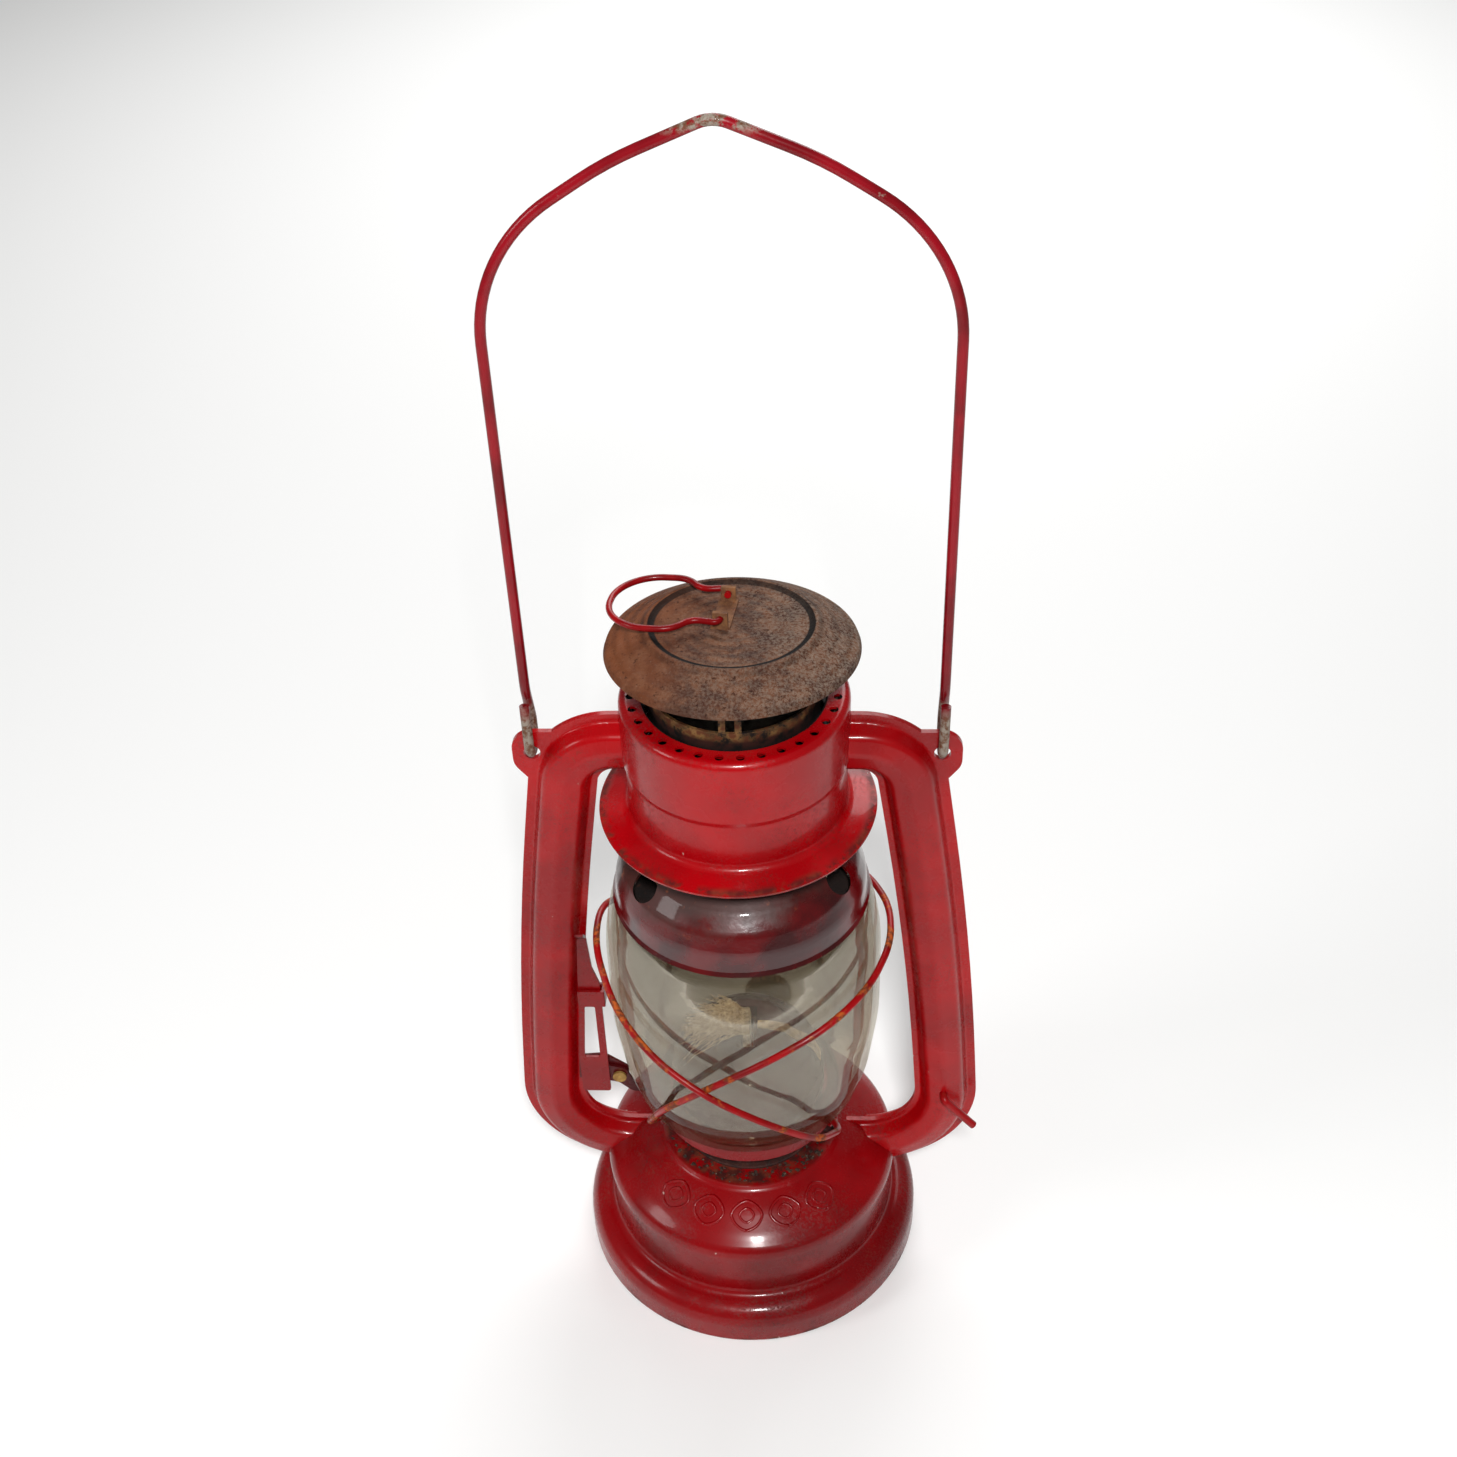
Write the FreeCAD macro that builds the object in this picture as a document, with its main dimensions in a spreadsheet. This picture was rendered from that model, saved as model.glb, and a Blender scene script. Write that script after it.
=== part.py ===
import FreeCAD, Part
import math
import os

import Sketcher

# A pressed-steel hurricane lantern.
# Frame: +Z up, origin on the floor under the middle of the foot, the two side tubes along X,
# the embossed side of the tank towards -Y. Millimetres throughout.

Vector = FreeCAD.Vector
Rotation = FreeCAD.Rotation
Z_AXIS = Vector(0, 0, 1)
Y_AXIS = Vector(0, 1, 0)
X_AXIS = Vector(1, 0, 0)

doc = FreeCAD.newDocument("lantern")
sheet = doc.addObject("Spreadsheet::Sheet", "Sizes")
sheet.Label = "sizes"


class Size:
    """A length of the sheet, or sums of it, kept with the expression that binds to it."""

    def __init__(self, value, expression):
        self.value = value
        self.expression = expression

    def __add__(self, other):
        if isinstance(other, Size):
            return Size(self.value + other.value, f"{self.expression} + {other.expression}")
        return Size(self.value + other, f"{self.expression} + {other}")

    def __sub__(self, other):
        if isinstance(other, Size):
            return Size(self.value - other.value, f"{self.expression} - ({other.expression})")
        return Size(self.value - other, f"{self.expression} - {other}")

    def __mul__(self, factor):
        return Size(self.value * factor, f"({self.expression}) * {factor}")


DRIVING_SIZES = {
    "sheet_metal": 0.8,
    "foot_radius": 55.0,
    "wall_radius": 46.7,
    "tank_radius": 47.5,
    "tank_shoulder": 36.0,
    "tank_top": 47.2,
    "tank_floor_level": 16.0,
    "collar_radius": 20.0,
    "filler_offset": 38.5,
    "filler_radius": 7.0,
    "filler_cap_radius": 9.2,
    "tube_half_width": 6.8,
    "tube_depth": 6.6,
    "outer_flange": 3.4,
    "inner_flange": 2.6,
    "upper_arm_level": 207.5,
    "lower_arm_level": 36.0,
    "ear_reach": 57.1,
    "ear_level": 204.0,
    "ear_radius": 5.6,
    "ear_hole_radius": 2.35,
    "ear_top": 211.3,
    "drum_radius": 31.7,
    "drum_top": 225.5,
    "drum_bottom": 186.0,
    "skirt_radius": 39.5,
    "vent_circle": 28.3,
    "vent_radius": 1.2,
    "throat_radius": 25.0,
    "chimney_radius": 23.5,
    "chimney_foot": 174.6,
    "chimney_top": 243.2,
    "cap_radius": 34.4,
    "cap_rim": 240.2,
    "plateau_radius": 22.8,
    "cap_tilt": 4.5,
    "bell_radius": 38.0,
    "bell_rim": 152.9,
    "bell_neck": 24.3,
    "globe_radius": 41.5,
    "globe_foot": 65.0,
    "globe_top": 160.9,
    "glass": 2.0,
    "plate_radius": 29.4,
    "plate_foot": 60.0,
    "guard_wire": 1.05,
    "burner_radius": 16.0,
    "cone_radius": 24.4,
    "cone_top": 90.0,
    "wick_width": 12.6,
    "wick_thickness": 2.2,
    "shaft_level": 56.2,
    "shaft_offset": 5.0,
    "shaft_radius": 1.1,
    "sprocket_radius": 3.8,
    "knob_radius": 8.0,
    "spring_radius": 27.6,
    "spring_wire": 0.6,
    "ring_wire": 0.9,
    "bail_wire": 1.4,
    "bail_leg": 57.0,
    "bail_eye_radius": 4.4,
    "hinge_wire": 1.3,
}
size = {}
for row, (alias, millimetres) in enumerate(DRIVING_SIZES.items(), start=1):
    sheet.set(f"A{row}", alias)
    sheet.set(f"B{row}", str(millimetres))
    sheet.setAlias(f"B{row}", alias)
    size[alias] = Size(millimetres, f"Sizes.{alias}")
doc.recompute()

SUB_PARTS = []


def sub_part(obj, label):
    """Names an object as one piece of the lantern."""
    obj.Label = label
    SUB_PARTS.append(obj)
    return obj


def bind(obj, prop, length):
    """Sets a property from a Size through an expression, or from a plain number."""
    if isinstance(length, Size):
        obj.setExpression(prop, length.expression)
    else:
        setattr(obj, prop, length)


def amount(length):
    """The plain number of a Size or of a number."""
    return length.value if isinstance(length, Size) else float(length)


# ---------------------------------------------------------------- outlines and sketches


def rounded(points, radii, closed=False):
    """Straight runs and tangent arcs along corner points; a radius of 0 leaves a corner sharp."""
    count = len(points)
    entries = []
    exits = []
    arcs = []
    for i, corner in enumerate(points):
        at_end = not closed and i in (0, count - 1)
        if radii[i] == 0 or at_end:
            entries.append(corner)
            exits.append(corner)
            arcs.append(None)
            continue
        back = (points[i - 1] - corner).normalize()
        ahead = (points[(i + 1) % count] - corner).normalize()
        half = back.getAngle(ahead) / 2
        setback = radii[i] / math.tan(half)
        inward = (back + ahead).normalize()
        middle = corner + inward * (radii[i] / math.sin(half) - radii[i])
        entries.append(corner + back * setback)
        exits.append(corner + ahead * setback)
        arcs.append(Part.Arc(entries[-1], middle, exits[-1]))
    runs = []
    for i in range(count):
        if arcs[i] is not None:
            runs.append(arcs[i])
        if i == count - 1 and not closed:
            break
        tip = entries[(i + 1) % count]
        if (tip - exits[i]).Length > 1e-6:
            runs.append(Part.LineSegment(exits[i], tip))
    return runs


def origin_plane(body, role):
    for feature in body.Origin.OriginFeatures:
        if feature.Role == role:
            return feature
    raise ValueError(role)


def nearest_ends(sketch, a, b):
    """The pair of end points where two neighbouring curves of a sketch meet."""
    pairs = [(i, j) for i in (1, 2) for j in (1, 2)]
    return min(pairs, key=lambda p: (sketch.getPoint(a, p[0]) - sketch.getPoint(b, p[1])).Length)


def tie_corner(sketch, geometry, corner):
    """Ties a sharp corner of a sketch to the sizes that its coordinates come from."""
    place = Vector(amount(corner[0]), amount(corner[1]), 0)
    for kind, length, value in (("DistanceX", corner[0], place.x), ("DistanceY", corner[1], place.y)):
        if not isinstance(length, Size) or value == 0:
            continue
        for index, end in ((i, e) for i in geometry for e in (1, 2)):
            if (sketch.getPoint(index, end) - place).Length < 1e-6:
                number = sketch.addConstraint(Sketcher.Constraint(kind, -1, 1, index, end, value))
                sketch.setExpression(f"Constraints[{number}]", length.expression)
                break


def draw(sketch, corners, closed=True):
    """Draws an outline of (u, v) or (u, v, corner radius) points and ties it to the sizes."""
    points = [Vector(amount(c[0]), amount(c[1]), 0) for c in corners]
    radii = [c[2] if len(c) > 2 else 0 for c in corners]
    runs = rounded(points, radii, closed)
    first = sketch.GeometryCount
    sketch.addGeometry(runs, False)
    geometry = range(first, first + len(runs))
    for i in range(len(runs) - 1 + int(closed)):
        a = geometry[i]
        b = geometry[(i + 1) % len(runs)]
        end_a, end_b = nearest_ends(sketch, a, b)
        sketch.addConstraint(Sketcher.Constraint("Coincident", a, end_a, b, end_b))
    for corner in corners:
        tie_corner(sketch, geometry, corner)


def attach(body, name, role, offset=Vector()):
    """A new sketch on one of the body's own origin planes."""
    sketch = body.newObject("Sketcher::SketchObject", name)
    sketch.AttachmentSupport = [(origin_plane(body, role), "")]
    sketch.MapMode = "FlatFace"
    sketch.AttachmentOffset = FreeCAD.Placement(offset, Rotation())
    return sketch


def turned(name, corners):
    """A body turned about +Z from a closed (radius, height) outline."""
    body = doc.addObject("PartDesign::Body", name)
    sketch = attach(body, name + "_profile", "XZ_Plane")
    draw(sketch, corners)
    turn = body.newObject("PartDesign::Revolution", name + "_turn")
    turn.Profile = sketch
    turn.ReferenceAxis = (sketch, ["V_Axis"])
    turn.Angle = 360
    return body


def pressed(name, corners, metal="left", gauge="sheet_metal"):
    """A thin shell: its outer face's (radius, height) line, thickened to one side and turned."""
    line = doc.addObject("Sketcher::SketchObject", name + "_line")
    line.Placement = FreeCAD.Placement(Vector(), Rotation(X_AXIS, 90))
    draw(line, corners, closed=False)
    strip = doc.addObject("Part::Offset2D", name + "_strip")
    strip.Source = line
    strip.Mode = "Skin"
    strip.Fill = True
    strip.Join = "Intersection"
    sign = {"left": "", "right": "-"}[metal]
    strip.setExpression("Value", f"{sign}Sizes.{gauge}")
    shell = doc.addObject("Part::Revolution", name + "_shell")
    shell.Source = strip
    shell.Axis = Z_AXIS
    shell.Angle = 360
    shell.Solid = True
    return shell


def extruded(name, role, corners, start, length, holes=()):
    """A plate: a closed outline with round holes, padded from start along the plane's normal."""
    body = doc.addObject("PartDesign::Body", name)
    sketch = attach(body, name + "_outline", role, Vector(0, 0, start))
    draw(sketch, corners)
    for u, v, radius in holes:
        centre = Vector(amount(u), amount(v), 0)
        hole = sketch.addGeometry(Part.Circle(centre, Z_AXIS, amount(radius)), False)
        if isinstance(radius, Size):
            number = sketch.addConstraint(Sketcher.Constraint("Radius", hole, radius.value))
            sketch.setExpression(f"Constraints[{number}]", radius.expression)
    pad = body.newObject("PartDesign::Pad", name + "_pad")
    pad.Profile = sketch
    bind(pad, "Length", length)
    return body


def cylinder(name, radius, height, base, axis=Z_AXIS):
    """A plain cylinder from its base point along an axis."""
    solid = doc.addObject("Part::Cylinder", name)
    bind(solid, "Radius", radius)
    bind(solid, "Height", height)
    solid.Placement = FreeCAD.Placement(base, Rotation(Z_AXIS, axis))
    return solid


def box(name, low, high):
    """A block between two opposite corners."""
    solid = doc.addObject("Part::Box", name)
    solid.Length = high[0] - low[0]
    solid.Width = high[1] - low[1]
    solid.Height = high[2] - low[2]
    solid.Placement = FreeCAD.Placement(Vector(*low), Rotation())
    return solid


def cut(name, base, tools):
    """Base minus one tool or several."""
    tool = tools[0]
    if len(tools) > 1:
        tool = doc.addObject("Part::MultiFuse", name + "_tools")
        tool.Shapes = tools
    result = doc.addObject("Part::Cut", name)
    result.Base = base
    result.Tool = tool
    return result


def fused(name, solids):
    result = doc.addObject("Part::MultiFuse", name)
    result.Shapes = solids
    return result


def around(radius, degrees, level):
    """A point at an angle about +Z, counted from the front (-Y) towards +X."""
    angle = math.radians(degrees)
    return Vector(radius * math.sin(angle), -radius * math.cos(angle), level)


def bent_rod(label, points, radii, thickness):
    """A round rod bent along corner points; the swept volume is held to section times length."""
    path = Part.Wire([run.toShape() for run in rounded(points, radii)])
    start = points[0]
    section = Part.Wire([Part.Circle(start, points[1] - start, thickness).toShape()])
    shape = path.makePipeShell([section], True, False)
    ideal = math.pi * thickness**2 * path.Length
    if abs(shape.Volume / ideal - 1) > 0.01:
        raise RuntimeError(f"{label}: swept volume {shape.Volume:.1f}, expected {ideal:.1f}")
    rod = doc.addObject("Part::Feature", label)
    rod.Shape = shape
    return rod


# ---------------------------------------------------------------- tank and foot

SHOULDER = [
    (size["tank_radius"], size["tank_shoulder"], 5.0),
    (43.0, 39.4, 24.0),
    (36.0, 43.6, 24.0),
    (30.4, 46.0, 2.5),
    (29.2, size["tank_top"], 0.8),
]
LIP_LEVEL = 32.6
FILLER_PLACE = around(size["filler_offset"].value, -135, 0)


def build_tank():
    wall = size["wall_radius"]
    foot = size["foot_radius"]
    foot_line = [(wall, 33.4), (wall, 14.8, 2.6), (foot, 13.2, 6.6), (foot, 0, 1.2), (51.8, 0)]
    sub_part(pressed("foot", foot_line, metal="right"), "base_skirt")

    floor_level = size["tank_floor_level"]
    inner_wall = wall - size["sheet_metal"]
    floor_line = [(inner_wall, 21.0), (inner_wall, floor_level, 1.6), (0, floor_level)]
    sub_part(pressed("floor", floor_line, metal="right"), "tank_floor")

    top = size["tank_top"]
    dome_line = [(size["tank_radius"], LIP_LEVEL)] + SHOULDER + [(size["collar_radius"], top)]
    dome = pressed("dome", dome_line)
    filler_hole = cylinder("filler_hole", size["filler_radius"], 30, FILLER_PLACE + Vector(0, 0, 30))
    sub_part(cut("dome_cut", dome, [filler_hole]), "tank_dome")

    collar = size["collar_radius"]
    collar_line = [
        (collar - 1, 42.0), (collar, 42.0), (collar, top), (collar + 2.6, top),
        (collar + 2.6, top + 0.8, 0.4), (collar, top + 0.8), (collar, 54.0), (collar - 1, 54.0),
    ]
    sub_part(turned("collar", collar_line), "burner_collar")


def build_filler():
    """The filler behind the tank's left shoulder: neck, screw cap and its gasket."""
    neck = size["filler_radius"]
    neck_line = [(neck - 0.8, 38.5), (neck, 38.5), (neck, 53.0), (neck - 0.8, 53.0)]
    neck_tube = sub_part(turned("neck", neck_line), "filler_neck")
    neck_tube.Placement.Base = FILLER_PLACE

    rim = size["filler_cap_radius"]
    cap_line = [(0, 54.3), (rim - 0.9, 54.3), (rim - 0.9, 48.4), (rim, 48.4), (rim, 55.2, 1.0), (0, 55.2)]
    shell = turned("filler_cap_shell", cap_line)
    flutes = []
    flute_count = 18
    for i in range(flute_count):
        place = around(rim.value + 0.35, 360 / flute_count * i, 47.0)
        flutes.append(cylinder(f"flute_{i}", 0.6, 7.0, place))
    cap = sub_part(cut("filler_cap_cut", shell, flutes), "filler_cap")
    cap.Placement.Base = FILLER_PLACE

    gasket_line = [(neck - 1.0, 53.1), (rim - 1.0, 53.1), (rim - 1.0, 54.3), (neck - 1.0, 54.3)]
    gasket = sub_part(turned("gasket", gasket_line), "filler_gasket")
    gasket.Placement.Base = FILLER_PLACE


# ---------------------------------------------------------------- crown

HOOD_WALL = [
    (31.0, 188.2, 2.4),
    (31.0, 203.2, 2.0),
    (size["drum_radius"], 205.2, 2.0),
    (size["drum_radius"], size["drum_top"], 2.4),
]


def filled(name, corners, low, high):
    """Everything inside an outer face's line, between two levels on the axis."""
    return turned(name, [(0, low)] + corners + [(0, high)])


def build_crown():
    throat = size["throat_radius"]
    hood_line = [(size["skirt_radius"], size["drum_bottom"])] + HOOD_WALL
    hood_line += [(throat, size["drum_top"], 0.9), (throat, 222.9)]
    hood = pressed("hood", hood_line)
    ports = []
    port_level = size["upper_arm_level"].value
    for side in (-1, 1):
        ports.append(cylinder(f"port_{side + 1}", 5.4, 14, Vector(side * 26, 0, port_level), X_AXIS * side))
    vents = []
    vent_count = 32
    for i in range(vent_count):
        place = around(size["vent_circle"].value, 360 / vent_count * (i + 0.5), 220.0)
        vents.append(cylinder(f"vent_{i}", size["vent_radius"], 8, place))
    sub_part(cut("hood_cut", hood, ports + vents), "crown_hood")


# ---------------------------------------------------------------- side tubes

BULGE_FOOT = 0.6


def tube_section():
    """Half of the tube's section: (depth, width) with the outer seam flange at positive width."""
    skin = size["sheet_metal"].value
    half = size["tube_half_width"].value
    depth = size["tube_depth"].value
    outer = half + size["outer_flange"].value
    inner = half + size["inner_flange"].value
    outside = [
        (-skin, outer), (-skin, half + BULGE_FOOT, 0.8), (-depth * 0.79, half * 0.83, 2.4), (-depth, 0, 4.0),
        (-depth * 0.79, -half * 0.83, 2.4), (-skin, -half - BULGE_FOOT, 0.8), (-skin, -inner),
    ]
    inside = [
        (0, -inner), (0, -half), (skin - depth * 0.79, skin - half * 0.83, 1.6), (skin - depth, 0, 3.2),
        (skin - depth * 0.79, half * 0.83 - skin, 1.6), (0, half), (0, outer),
    ]
    return outside + inside


def tube_centre_line(side):
    """Corners of the tube's middle line in the XZ plane: crown arm, long side, arm over the tank."""
    upper = size["upper_arm_level"]
    lower = size["lower_arm_level"]
    corners = [(30.0, upper), (47.0, upper, 14.5), (58.8, 126.0, 1300.0), (65.0, lower, 25.0), (31.0, lower)]
    return [(side * c[0], *c[1:]) for c in corners]


def tube_half(label, side, front):
    """One pressed half of a side tube, with its share of the ear for the bail."""
    body = doc.addObject("PartDesign::Body", label + "_pressing")
    path = attach(body, label + "_path", "XZ_Plane")
    draw(path, tube_centre_line(side), closed=False)
    section = attach(body, label + "_section", "YZ_Plane", Vector(0, 0, side * 30.0))
    level = size["upper_arm_level"].value
    face = 1 if front else -1
    draw(section, [(face * c[0], level + c[1], *c[2:]) for c in tube_section()])
    pipe = body.newObject("PartDesign::AdditivePipe", label + "_pipe")
    pipe.Profile = section
    pipe.Spine = path

    ear = attach(body, label + "_ear", "XZ_Plane")
    tip = size["ear_reach"].value + size["ear_radius"].value
    top = size["ear_top"].value
    outline = [(46.5, top), (tip, top, 6.0), (tip, 199.5, 6.0), (59.3, 195.0), (55.9, 195.2), (52.4, 205.0)]
    draw(ear, [(side * c[0], *c[1:]) for c in outline])
    lobe = body.newObject("PartDesign::Pad", label + "_lobe")
    lobe.Profile = ear
    lobe.Reversed = not front
    bind(lobe, "Length", size["sheet_metal"])

    hole = attach(body, label + "_hole", "XZ_Plane")
    centre = Vector(side * size["ear_reach"].value, size["ear_level"].value, 0)
    circle = hole.addGeometry(Part.Circle(centre, Z_AXIS, size["ear_hole_radius"].value), False)
    number = hole.addConstraint(Sketcher.Constraint("Radius", circle, size["ear_hole_radius"].value))
    hole.setExpression(f"Constraints[{number}]", size["ear_hole_radius"].expression)
    bore = body.newObject("PartDesign::Pocket", label + "_bore")
    bore.Profile = hole
    bore.Length = 6
    bore.Midplane = True
    return body


HINGE_HOLE = Vector(62.6, -2.0, 66.0)


def build_tubes():
    crown_fill = filled("crown_fill", HOOD_WALL, 188.2, size["drum_top"])
    wall = size["wall_radius"]
    tank_line = [(wall, 20.0), (wall, LIP_LEVEL), (size["tank_radius"], LIP_LEVEL)] + SHOULDER
    tank_fill = filled("tank_fill", tank_line, 20.0, size["tank_top"])
    hinge_bore = cylinder("hinge_bore", size["hinge_wire"], 8, HINGE_HOLE, -Y_AXIS)
    for side, side_name in ((-1, "left"), (1, "right")):
        for front, half_name in ((True, "front"), (False, "back")):
            label = f"{side_name}_tube_{half_name}"
            tools = [crown_fill, tank_fill]
            if side > 0 and front:
                tools.append(hinge_bore)
            sub_part(cut(label + "_trim", tube_half(label, side, front), tools), label)


# ---------------------------------------------------------------- chimney, cap and bell


def build_chimney():
    radius = size["chimney_radius"]
    foot = size["chimney_foot"]
    skin = size["sheet_metal"]
    top = size["chimney_top"]
    wall_line = [(radius - skin, foot), (radius, foot), (radius, top), (radius - skin, top)]
    wall = turned("chimney_wall", wall_line)
    window_low = 229.6
    window_height = 9.8
    # Degrees from the front: one narrow window, then four wide ones with a post between each two.
    spans = [(-3.0, 3.0), (7.4, 87.8), (92.2, 177.8), (182.2, 267.8), (272.2, 352.6)]
    sectors = []
    for i, (start, end) in enumerate(spans):
        sector = doc.addObject("Part::Cylinder", f"window_{i}")
        sector.Radius = radius.value + 2
        sector.Height = window_height
        sector.Angle = end - start
        sector.Placement = FreeCAD.Placement(Vector(0, 0, window_low), Rotation(Z_AXIS, start - 90))
        sectors.append(sector)
    sub_part(cut("chimney_cut", wall, sectors), "chimney")


TILT_CENTRE = Vector(0, 0, 241.0)
CAP_TILT = FreeCAD.Placement(Vector(), Rotation(X_AXIS, -size["cap_tilt"].value), TILT_CENTRE)
RING_PLACE = Vector(-2.0, 4.8, 250.3)
RING_TURN = -7.0


def build_cap():
    """The loose cap, tipped up at the front, with the clip and the lift ring on its plateau."""
    rim = size["cap_radius"]
    plateau = size["plateau_radius"]
    cap_line = [
        (rim, size["cap_rim"]), (33.8, 241.9, 1.2), (24.4, 246.9, 2.6), (plateau, 248.3, 1.0),
        (20.4, 247.2, 1.4), (0, 247.2),
    ]
    cap = sub_part(pressed("cap", cap_line), "cap")
    cap.Placement = CAP_TILT

    clip_turn = Rotation(Z_AXIS, RING_TURN)
    clip_place = CAP_TILT * FreeCAD.Placement(Vector(RING_PLACE.x, RING_PLACE.y, 0), clip_turn)
    low = 247.2
    eye_level = RING_PLACE.z
    strap = box("clip_strap", (-2.6, -7.2, low), (2.6, 7.2, low + 0.8))
    lug_blocks = []
    lug_bores = []
    for y in (-7.2, 6.0):
        lug_blocks.append(box(f"lug_{y:.0f}", (-2.0, y, low), (2.0, y + 1.2, eye_level + 1.8)))
        start = Vector(0, y - 1, eye_level)
        lug_bores.append(cylinder(f"eye_{y:.0f}", size["ring_wire"] + 0.08, 3, start, Y_AXIS))
    clip = sub_part(cut("clip_cut", fused("clip_blank", [strap] + lug_blocks), lug_bores), "ring_clip")
    clip.Placement = clip_place

    half = [
        (Vector(0, 5.0, 0), 0), (Vector(0, 8.9, 0), 1.6), (Vector(-7.6, 7.8, 0), 5.0),
        (Vector(-12, 13.2, 0), 7.5), (Vector(-31, 13.2, 0), 12.6),
    ]
    corners = half + [(Vector(p.x, -p.y, p.z), r) for p, r in reversed(half)]
    points = [corner[0] for corner in corners]
    radii = [corner[1] for corner in corners]
    ring = sub_part(bent_rod("ring", points, radii, size["ring_wire"].value), "lift_ring")
    droop = FreeCAD.Placement(Vector(0, 0, eye_level), Rotation(Y_AXIS, -1.4))
    ring.Placement = clip_place * droop


def build_bell():
    bell_line = [
        (size["bell_radius"], size["bell_rim"]), (37.2, 154.0, 0.6), (36.7, 159.6, 10.0), (34.5, 165.6, 6.0),
        (30.4, 170.2, 6.0), (26.6, 172.9, 2.5), (size["bell_neck"], 173.3, 0.7), (size["bell_neck"], 178.0),
    ]
    shell = pressed("bell", bell_line)
    holes = []
    for i, degrees in enumerate((-56, 64, 184)):
        out = around(1, degrees, 0)
        slant = (out * math.cos(math.radians(42)) + Z_AXIS * math.sin(math.radians(42))).normalize()
        start = around(32.4, degrees, 169.0) - slant * 5
        holes.append(cylinder(f"bell_hole_{i}", 4.7, 10, start, slant))
    sub_part(cut("bell_cut", shell, holes), "bell")

    seat_line = [(26.0, 161.2), (34.2, 161.2), (34.2, 163.6), (33.4, 163.6), (33.4, 162.0), (26.0, 162.0)]
    sub_part(turned("seat", seat_line), "globe_seat")


def build_spring():
    """The coil spring between the hood and the bell, each turn eight corners rounded to the coil."""
    low = 174.8
    high = 223.6
    turns = 6.5
    per_turn = 8
    coil_radius = size["spring_radius"].value
    corner_radius = coil_radius / math.cos(math.pi / per_turn)
    corner_count = int(turns * per_turn)
    corners = []
    for i in range(corner_count + 1):
        corners.append(around(corner_radius, 360 / per_turn * i, low + (high - low) * i / corner_count))
    start = (corners[0] + corners[1]) * 0.5
    end = (corners[-2] + corners[-1]) * 0.5
    points = [start] + corners[1:-1] + [end]
    radii = [0] + [0.97 * coil_radius] * (len(points) - 2) + [0]
    sub_part(bent_rod("spring_coil", points, radii, size["spring_wire"].value), "lift_spring")


# ---------------------------------------------------------------- globe carriage



def build_globe():
    belly = size["globe_radius"]
    globe_line = [
        (27.6, size["globe_foot"]), (27.6, 68.0, 1.5), (35.6, 71.6, 6.0), (39.0, 84.0, 26.0),
        (belly, 104.0, 60.0), (belly, 136.0, 60.0), (38.7, 150.0, 12.0), (36.0, 153.4, 3.0),
        (31.2, 155.0, 2.0), (30.8, size["globe_top"]),
    ]
    sub_part(pressed("globe_glass", globe_line, gauge="glass"), "globe")


def build_plate():
    """The ring under the globe, with a tongue for the crank and four hooks for the guard wires."""
    rim = size["plate_radius"]
    foot = size["plate_foot"]
    ring = turned("plate_ring", [
        (rim - 0.8, foot), (rim, foot), (rim, 66.8, 0.3), (rim - 0.8, 66.8, 0.3), (rim - 0.8, 64.9),
        (25.3, 64.9), (25.3, 64.1), (rim - 0.8, 64.1),
    ])
    pieces = [ring, box("tongue", (-35.4, -4.4, 64.9), (-29.0, 1.6, 65.7))]
    for degrees in (-57, 57, 123, -123):
        hook = box(f"hook_{degrees + 180}", (28.9, -1.8, 64.9), (32.8, 1.8, 65.7))
        hook.Placement = FreeCAD.Placement(Vector(), Rotation(Z_AXIS, degrees - 90)) * hook.Placement
        pieces.append(hook)
    sub_part(fused("plate", pieces), "globe_plate")


GUARD_HIGH_RIGHT = [
    (-57, 31.2, 66.9), (-52, 38.6, 71.6), (-34, 43.8, 93.0), (-12, 44.5, 111.5), (12, 44.6, 124.5),
    (35, 44.7, 131.0), (58, 44.7, 134.4), (80, 45.0, 136.4),
]
GUARD_HIGH_LEFT = [
    (-57, 31.2, 66.9), (-50, 38.6, 70.4), (-31, 44.6, 82.0), (-11, 46.9, 98.0), (11, 46.9, 110.0),
    (34, 45.4, 117.5), (57, 44.8, 124.5), (79, 45.0, 134.6),
]


def build_guards():
    """Two wires from the plate round the globe, each high on one side, crossing front and back."""
    wires = (("guard_wire_right", GUARD_HIGH_RIGHT, 1), ("guard_wire_left", GUARD_HIGH_LEFT, -1))
    for label, stations, side in wires:
        front = [around(radius, side * degrees, level) for degrees, radius, level in stations]
        back = [Vector(p.x, -p.y, p.z) for p in reversed(front)]
        points = front + back
        radii = [0]
        for i in range(1, len(points) - 1):
            before = points[i - 1] - points[i]
            after = points[i + 1] - points[i]
            run = min(before.Length, after.Length)
            radii.append(0.45 * run * math.tan(before.getAngle(after) / 2))
        radii.append(0)
        sub_part(bent_rod(label, points, radii, size["guard_wire"].value), label)


# ---------------------------------------------------------------- burner and wick


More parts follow.
